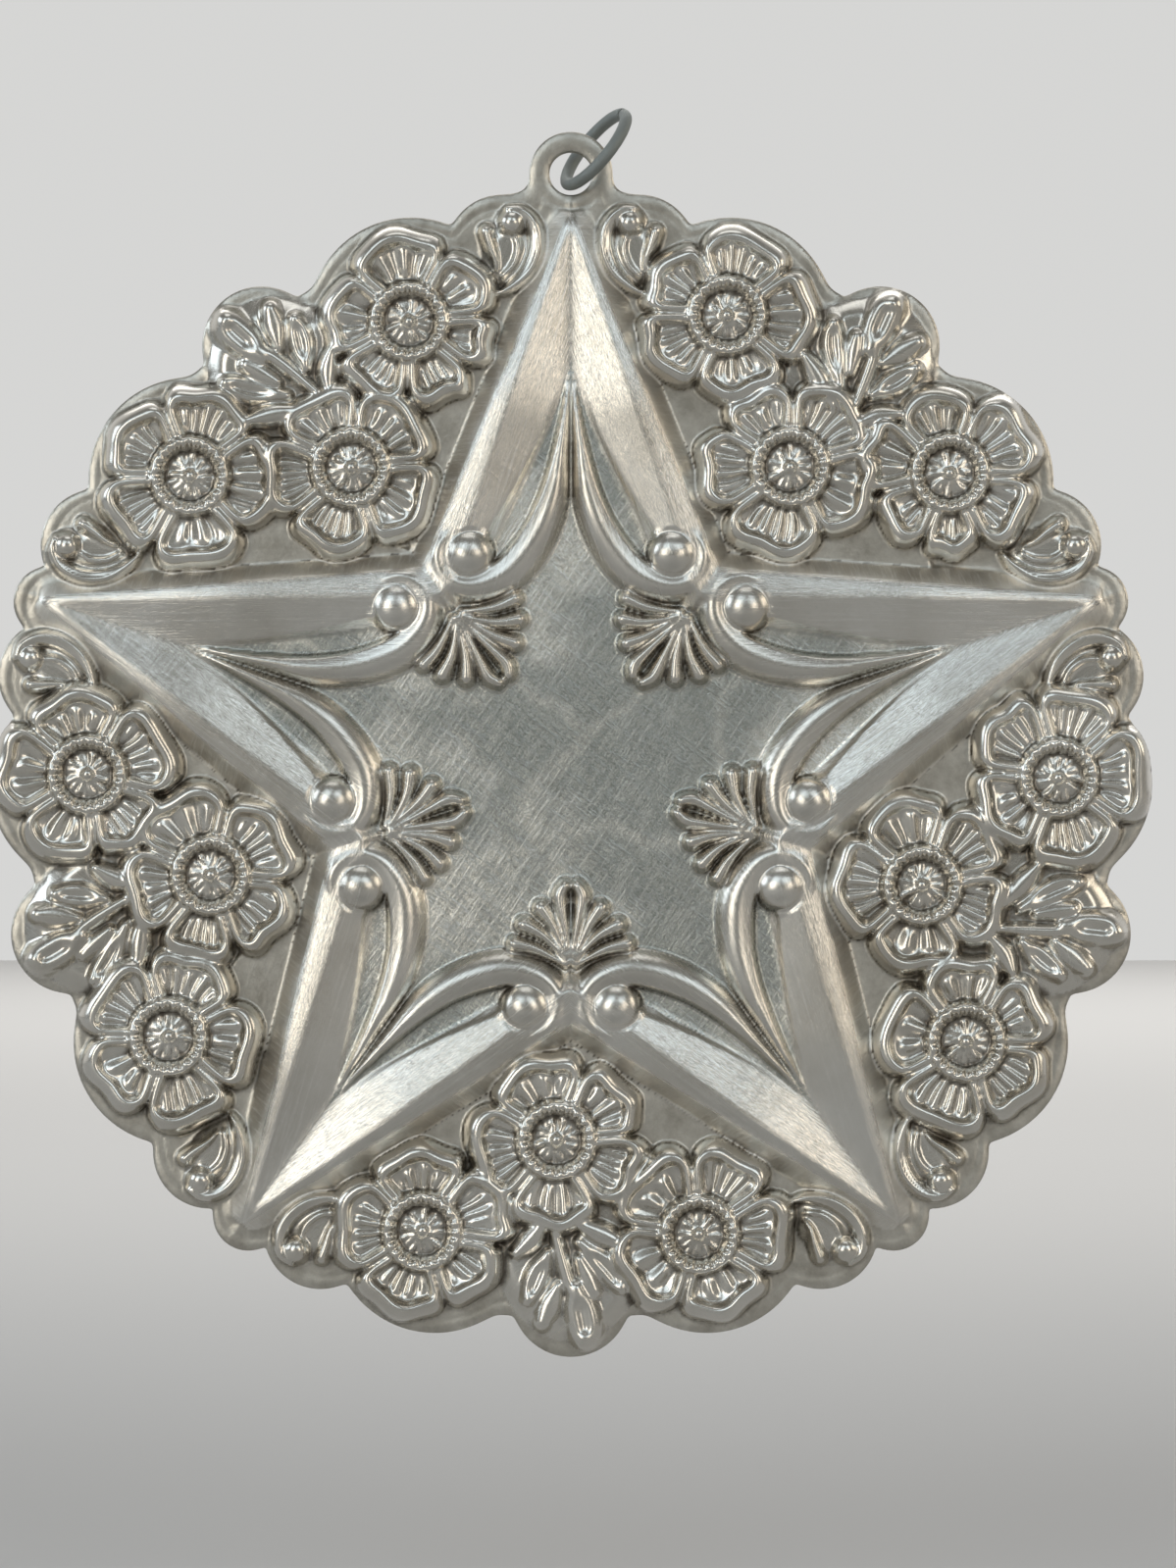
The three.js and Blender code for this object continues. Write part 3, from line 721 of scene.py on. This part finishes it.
def sheared_grid(pitch):
    """A square grid over the sheet with its outermost corners moved onto the sheared edge,
    the cells inside it, and which corners these use."""
    u, v = np.meshgrid(np.arange(-sheet_half, sheet_half, pitch),
                       np.arange(-sheet_half, sheet_top, pitch), indexing="ij")
    cells = inside_edge(u[:-1, :-1] + pitch / 2, v[:-1, :-1] + pitch / 2) > 0.0
    around = np.zeros(u.shape, dtype=int)
    for shift_u in (0, 1):
        for shift_v in (0, 1):
            around[shift_u:shift_u + cells.shape[0], shift_v:shift_v + cells.shape[1]] += cells
    used = around > 0
    brink = used & (around < 4)
    edge_u, edge_v = u[brink], v[brink]
    for _ in range(5):
        off, lean_u, lean_v = edge_lean(edge_u, edge_v)
        size = np.maximum(lean_u ** 2 + lean_v ** 2, 0.05)
        edge_u = edge_u - np.clip(off * lean_u / size, -pitch, pitch)
        edge_v = edge_v - np.clip(off * lean_v / size, -pitch, pitch)
    u[brink], v[brink] = edge_u, edge_v
    return u, v, cells, used


# how far in from the edge each row of the sheared wall lies, and at which level
sheared_rows = ((-0.02, 0.26), (0.0, 0.14), (0.05, seam_half), (0.9, seam_half))


def with_sheared_edge(points, quads, cells, number):
    """The sheet's points and faces with its sheared edge, which goes down to the seam and a
    little way in under it."""
    padded = np.pad(cells, 1)
    free_sides = []
    for (over_u, over_v), (first, second) in (((0, -1), (0, 1)), ((1, 0), (1, 2)),
                                              ((0, 1), (2, 3)), ((-1, 0), (3, 0))):
        free = cells & ~padded[1 + over_u:1 + over_u + cells.shape[0],
                               1 + over_v:1 + over_v + cells.shape[1]]
        i, j = np.nonzero(free)
        corners = ((i, j), (i + 1, j), (i + 1, j + 1), (i, j + 1))
        free_sides.append(np.stack([number[corners[first]], number[corners[second]]], axis=1))
    free_sides = np.concatenate(free_sides)
    lip, place = np.unique(free_sides, return_inverse=True)
    place = place.reshape(free_sides.shape)
    lip_u, lip_v = points[lip, 0], points[lip, 1]
    _, in_u, in_v = edge_lean(lip_u, lip_v)
    size = np.maximum(np.hypot(in_u, in_v), 0.3)
    in_u, in_v = in_u / size, in_v / size
    total = len(points)
    stack, faces = [points], [quads]
    upper = lip
    for inset, level in sheared_rows:
        stack.append(np.stack([lip_u + inset * in_u, lip_v + inset * in_v,
                               np.full(len(lip), level)], axis=1))
        lower = np.arange(total, total + len(lip))
        faces.append(np.stack([upper[place[:, 1]], upper[place[:, 0]],
                               lower[place[:, 0]], lower[place[:, 1]]], axis=1))
        total += len(lip)
        upper = lower
    return np.concatenate(stack), np.concatenate(faces)


# what the marks are on the sheared edge, where the relief says nothing
edge_marks = {"soil": 0.3, "polish": 0.0, "plain": 0.0, "chatter": 0.0, "brushed": 0.5}


def struck_shell(name, pitch, facing):
    """One half, struck from a sheet of quads. facing is 1 for the front and -1 for the back."""
    u, v, cells, used = sheared_grid(pitch)
    height, stain, marks, grain = struck_relief(u, v)
    height = softened(height, pitch, sheet_softness)
    marks["soil"] = settled_tarnish(np.where(used, height, 0.0), pitch, marks) + stain
    number = np.full(u.shape, -1, dtype=np.int64)
    number[used] = np.arange(used.sum())
    i, j = np.nonzero(cells)
    quads = np.stack([number[i, j], number[i + 1, j], number[i + 1, j + 1], number[i, j + 1]],
                     axis=1)
    points = np.stack([u[used], v[used], flange_top + height[used]], axis=1)
    points, faces = with_sheared_edge(points, quads, cells, number)

    placed = np.empty_like(points)
    placed[:, 0] = facing * points[:, 0]
    placed[:, 1] = -facing * points[:, 2]
    placed[:, 2] = points[:, 1] - eye_height
    placed *= 0.001
    mesh = bpy.data.meshes.new(name)
    mesh.vertices.add(len(placed))
    mesh.vertices.foreach_set("co", placed.astype(np.float32).ravel())
    mesh.loops.add(faces.size)
    mesh.loops.foreach_set("vertex_index", faces.astype(np.int32).ravel())
    mesh.polygons.add(len(faces))
    mesh.polygons.foreach_set("loop_start", np.arange(0, faces.size, 4, dtype=np.int32))
    mesh.polygons.foreach_set("use_smooth", np.ones(len(faces), dtype=bool))
    mesh.update(calc_edges=True)
    mesh.validate()

    spare = len(points) - int(used.sum())
    for label, on_edge in edge_marks.items():
        values = np.concatenate([marks[label][used], np.full(spare, on_edge)])
        mesh.attributes.new(label, "FLOAT", "POINT").data.foreach_set(
            "value", values.astype(np.float32))
    values = np.concatenate([grain[used], np.zeros((spare, 3))])
    mesh.attributes.new("grain", "FLOAT_VECTOR", "POINT").data.foreach_set(
        "vector", values.astype(np.float32).ravel())
    shell = put(name, mesh)
    shell.data.materials.append(struck_skin)
    return shell


# The skin of the struck sheet: silver, clean on the star and duller on the flange, with a grey
#  film and dried lines on the plain middle, rubbing marks with painted glints along them, and brown
#  tarnish in the hollows.
dull_tones = ((0.32, (0.42, 0.39, 0.335)), (0.68, (0.71, 0.68, 0.61)))
clean_tones = ((0.34, (0.64, 0.605, 0.54)), (0.66, (0.80, 0.775, 0.72)))
film_tones = ((0.46, (0.38, 0.395, 0.36)), (0.58, (0.80, 0.775, 0.69)))
dried_tone = (0.84, 0.80, 0.70, 1.0)
# painted highlight: the near-white colour painted along the rubbing marks as glints
rubbed_glint_tone = (0.98, 0.97, 0.94, 1.0)
tarnish_tone = (0.15, 0.13, 0.105, 1.0)
matt_roughness = 0.32
polished_roughness = 0.15
line_roughness = 0.11
bevel_roughness = 0.24
tarnish_roughness = 0.14
# the scratches that cross on the plain middle: their tilt in degrees, and how fine they are
crossing = ((34.0, 5200.0), (-52.0, 3600.0))
scratch_length = 1.0 / 240.0

struck_skin, struck, struck_shader = new_finish("struck_silver_skin", Metallic=1.0)
place = node(struck, "ShaderNodeTexCoord").outputs["Object"]
sheet_marks = {label: node(struck, "ShaderNodeAttribute", attribute_name=label).outputs
               for label in ("soil", "polish", "plain", "chatter", "brushed", "grain")}
soil, polish, plain, chatter, brushed = (
    sheet_marks[label]["Fac"] for label in ("soil", "polish", "plain", "chatter", "brushed"))
grain = sheet_marks["grain"]["Vector"]


def mottle(where, scale, detail, roughness):
    return node(struck, "ShaderNodeTexNoise", Vector=where, Scale=scale, Detail=detail,
                Roughness=roughness).outputs


def mapped(value, **limits):
    return node(struck, "ShaderNodeMapRange", Value=value, **limits).outputs["Result"]


def smoothly(value, **limits):
    return mapped(value, interpolation_type="SMOOTHSTEP", **limits)


def mixed(kind, share, first, second):
    return node(struck, "ShaderNodeMix", data_type=kind, Factor=share, A=first,
                B=second).outputs["Result"]


blotch = mottle(place, 420.0, 6.0, 0.7)["Fac"]
peen = mottle(place, 2900.0, 3.0, 0.65)["Fac"]
cloud = mottle(place, 110.0, 5.0, 0.6)["Fac"]
film = mottle(place, 62.0, 3.0, 0.5)

# tarnish, speckled and blotchy
tarnish = reckon(struck, "MULTIPLY_ADD", blotch, 0.5, soil)
tarnish = reckon(struck, "MULTIPLY_ADD", peen, 0.7, tarnish)
tarnish = smoothly(tarnish, From_Min=0.63, From_Max=1.5)

# the film on the plain middle, with the lines where drops have dried
drifted = mixed("RGBA", 0.02, place, film["Color"])
dried = node(struck, "ShaderNodeTexVoronoi", feature="DISTANCE_TO_EDGE", Scale=58.0,
             Vector=drifted).outputs["Distance"]
dried = smoothly(dried, From_Max=0.055, To_Min=0.28, To_Max=0.0)
field_tone = mixed("RGBA", dried, toned(struck, film["Fac"], film_tones), dried_tone)
field_share = reckon(struck, "MULTIPLY", plain, 0.85)
star_tone = mixed("RGBA", field_share, toned(struck, cloud, clean_tones), field_tone)
silver_tone = mixed("RGBA", polish, toned(struck, blotch, dull_tones), star_tone)

# rubbing marks: hairlines along the arms, chatter across the bevels, and scratches that cross
# on the plain middle
hair_lay = node(struck, "ShaderNodeMapping", Vector=grain, Scale=(5.2, 0.2, 0.0)).outputs[0]
chatter_lay = node(struck, "ShaderNodeMapping", Vector=grain, Scale=(0.8, 4.6, 0.0)).outputs[0]
hairs = mottle(hair_lay, 1.0, 4.0, 0.75)["Fac"]
chatters = mottle(chatter_lay, 1.0, 3.0, 0.65)["Fac"]
on_arm = mixed("FLOAT", chatter, hairs, chatters)
scratches = []
for tilt, fine in crossing:
    lay = node(struck, "ShaderNodeMapping", vector_type="TEXTURE", Vector=place,
               Rotation=(0.0, math.radians(tilt), 0.0), Scale=(1.0 / fine, 1.0, scratch_length))
    scratches.append(mottle(lay.outputs[0], 1.0, 4.0, 0.8)["Fac"])
scratches = reckon(struck, "MAXIMUM", *scratches)
marks = mixed("FLOAT", reckon(struck, "MAXIMUM", plain, 0.3), on_arm, scratches)
lines = mapped(marks, From_Min=0.32, From_Max=0.68)

# painted highlight: the marks get bright glint lines painted into the colour, partly silver rubbed
# bare and partly painted highlight, more of them where the film is thin
rubbed_glint = smoothly(lines, From_Min=0.45, From_Max=0.95, To_Max=0.42)
rubbed_glint = reckon(struck, "MULTIPLY", rubbed_glint, brushed)
thin_film = mapped(film["Fac"], From_Min=0.38, From_Max=0.62, To_Min=0.25, To_Max=1.5)
rubbed_glint = reckon(struck, "MULTIPLY", rubbed_glint, thin_film)
# painted highlight: the glint lines are mixed into the silver colour
silver_tone = mixed("RGBA", rubbed_glint, silver_tone, rubbed_glint_tone)
silver_tone = mixed("RGBA", tarnish, silver_tone, tarnish_tone)
struck.links.new(silver_tone, struck_shader.inputs["Base Color"])

# the gloss: rougher on the flange, the bevels, the marks and the tarnish
gloss = mapped(polish, To_Min=matt_roughness, To_Max=polished_roughness)
gloss = reckon(struck, "MULTIPLY_ADD", lines, line_roughness, gloss)
gloss = reckon(struck, "MULTIPLY_ADD", chatter, bevel_roughness, gloss)
gloss = reckon(struck, "MULTIPLY_ADD", tarnish, tarnish_roughness, gloss)
struck.links.new(gloss, struck_shader.inputs["Roughness"])

# the fine relief of the marks and of the peened flange
matt = reckon(struck, "SUBTRACT", 1.02, polish)
dents = reckon(struck, "MULTIPLY", peen, matt)
skin_height = reckon(struck, "MULTIPLY_ADD", lines, brushed, dents)
bump = node(struck, "ShaderNodeBump", Strength=1.0, Distance=0.000022, Height=skin_height)
struck.links.new(bump.outputs[0], struck_shader.inputs["Normal"])

# The front half: sheet silver struck with the whole relief, with a flat scalloped flange that
# is soldered to the back half's, and the front leaf of the lug.
front_pitch = 0.15
front = struck_shell("front_face", front_pitch, 1.0)
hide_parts("front_shell")
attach(front, "star")

# The back half: struck in the same die as the front, so that turned about it meets the front
# half's rim all round. It has the back leaf of the lug.
back_pitch = 0.2
back = struck_shell("back_face", back_pitch, -1.0)
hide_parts("back_shell")
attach(back, "star")

# The seam: a thin run of silver solder between the two flanges, a little back from the edge
# and uneven where it was filed.
seam_turns = 900
seam_shrink = 0.03
seam_ripple = 0.03
# how far in from the rim each row of the solder lies, and how far in front of the middle
seam_rows = ((0.7, -0.07), (0.12, -0.07), (0.06, 0.0), (0.12, 0.07), (0.7, 0.07))
solder_tones = ((0.0, (0.12, 0.105, 0.09)), (1.0, (0.48, 0.45, 0.40)))
seam_angles = np.linspace(0.0, 2.0 * math.pi, seam_turns, endpoint=False)
near_reach = np.full(seam_turns, 37.0)
far_reach = np.full(seam_turns, 47.0)
for _ in range(30):
    middle = 0.5 * (near_reach + far_reach)
    within = inside_rim(middle * np.cos(seam_angles), middle * np.sin(seam_angles)) > 0.0
    near_reach = np.where(within, middle, near_reach)
    far_reach = np.where(within, far_reach, middle)
seam_points = []
for inset, level in seam_rows:
    ripple = seam_ripple * np.sin(23.0 * seam_angles + 40.0 * level) * np.sin(61.0 * seam_angles)
    reach = near_reach - inset - ripple - seam_shrink
    for r, a in zip(reach, seam_angles):
        seam_points.append((r * math.cos(a) / 1000.0, -level / 1000.0,
                            (r * math.sin(a) - eye_height) / 1000.0))
seam_faces = []
for row in range(len(seam_rows) - 1):
    for i in range(seam_turns):
        j = (i + 1) % seam_turns
        seam_faces.append((row * seam_turns + i, row * seam_turns + j,
                           (row + 1) * seam_turns + j, (row + 1) * seam_turns + i))
seam_mesh = bpy.data.meshes.new("solder")
seam_mesh.from_pydata(seam_points, [], seam_faces)
seam_mesh.polygons.foreach_set("use_smooth", [True] * len(seam_faces))
solder = put("solder", seam_mesh)
solder_skin, solder_tree, solder_shader = new_finish("solder_grey", Metallic=1.0, Roughness=0.55)
solder_spots = node(solder_tree, "ShaderNodeTexNoise", Scale=900.0, Detail=4.0).outputs["Fac"]
solder_tree.links.new(toned(solder_tree, solder_spots, solder_tones),
                      solder_shader.inputs["Base Color"])
seam_mesh.materials.append(solder_skin)
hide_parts("solder_seam")
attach(solder, "star")

# The jump ring: round wire bent into a ring, sawn through at the far side and never soldered.
# It has gone dull and grey, and leans to the right in the eye.
wire_radius = 0.44
ring_radius = 3.16
ring_cut = 0.3
ring_lean = math.radians(51.7)
ring_twist = math.radians(19.0)
pinched_end = 0.93
rest_reach = eye_radius - wire_radius - 0.36
rest_at = math.radians(257.0)
wire_turns, wire_sides = 180, 20
wire_tones = ((0.3, (0.16, 0.18, 0.175)), (0.75, (0.42, 0.44, 0.42)))
to_far = Vector((math.cos(ring_lean), 0.0, math.sin(ring_lean)))
to_front = Vector((math.sin(ring_twist) * math.sin(ring_lean), -math.cos(ring_twist),
                   -math.sin(ring_twist) * math.cos(ring_lean)))
ring_normal = to_far.cross(to_front)
ring_middle = Vector((rest_reach * math.cos(rest_at), 0.0,
                      rest_reach * math.sin(rest_at))) + ring_radius * to_far
half_cut = ring_cut / ring_radius / 2.0
wire_points = []
for i in range(wire_turns + 1):
    turn = half_cut + (2.0 * math.pi - 2.0 * half_cut) * i / wire_turns
    outward = math.cos(turn) * to_far + math.sin(turn) * to_front
    pinch = pinched_end if i in (0, wire_turns) else 1.0
    flat = 1.0 - 0.03 * math.sin(5.0 * turn + 1.0) - 0.02 * math.sin(11.0 * turn)
    for k in range(wire_sides):
        around = 2.0 * math.pi * k / wire_sides
        off_out = wire_radius * pinch * flat * math.cos(around)
        off_up = wire_radius * pinch * math.sin(around)
        wire_points.append((ring_middle + (ring_radius + off_out) * outward
                            + off_up * ring_normal) / 1000.0)
wire_faces = []
for i in range(wire_turns):
    for k in range(wire_sides):
        n = (k + 1) % wire_sides
        wire_faces.append((i * wire_sides + k, i * wire_sides + n,
                           (i + 1) * wire_sides + n, (i + 1) * wire_sides + k))
wire_faces.append(tuple(range(wire_sides - 1, -1, -1)))
wire_faces.append(tuple(range(wire_turns * wire_sides, (wire_turns + 1) * wire_sides)))
wire_mesh = bpy.data.meshes.new("wire_ring")
wire_mesh.from_pydata(wire_points, [], wire_faces)
wire_mesh.polygons.foreach_set("use_smooth", [len(face) == 4 for face in wire_faces])
wire_ring = put("wire_ring", wire_mesh)
wire_skin, wire_tree, wire_shader = new_finish("oxidised_grey", Metallic=0.75)
wire_spots = node(wire_tree, "ShaderNodeTexNoise", Scale=1100.0, Detail=6.0,
                  Roughness=0.7).outputs["Fac"]
wire_tree.links.new(toned(wire_tree, wire_spots, wire_tones), wire_shader.inputs["Base Color"])
wire_rough = node(wire_tree, "ShaderNodeMapRange", Value=wire_spots, To_Min=0.42, To_Max=0.7)
wire_tree.links.new(wire_rough.outputs["Result"], wire_shader.inputs["Roughness"])
wire_bump = node(wire_tree, "ShaderNodeBump", Strength=0.5, Distance=0.00004, Height=wire_spots)
wire_tree.links.new(wire_bump.outputs[0], wire_shader.inputs["Normal"])
wire_mesh.materials.append(wire_skin)
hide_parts("jump_ring")
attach(wire_ring, "ring")
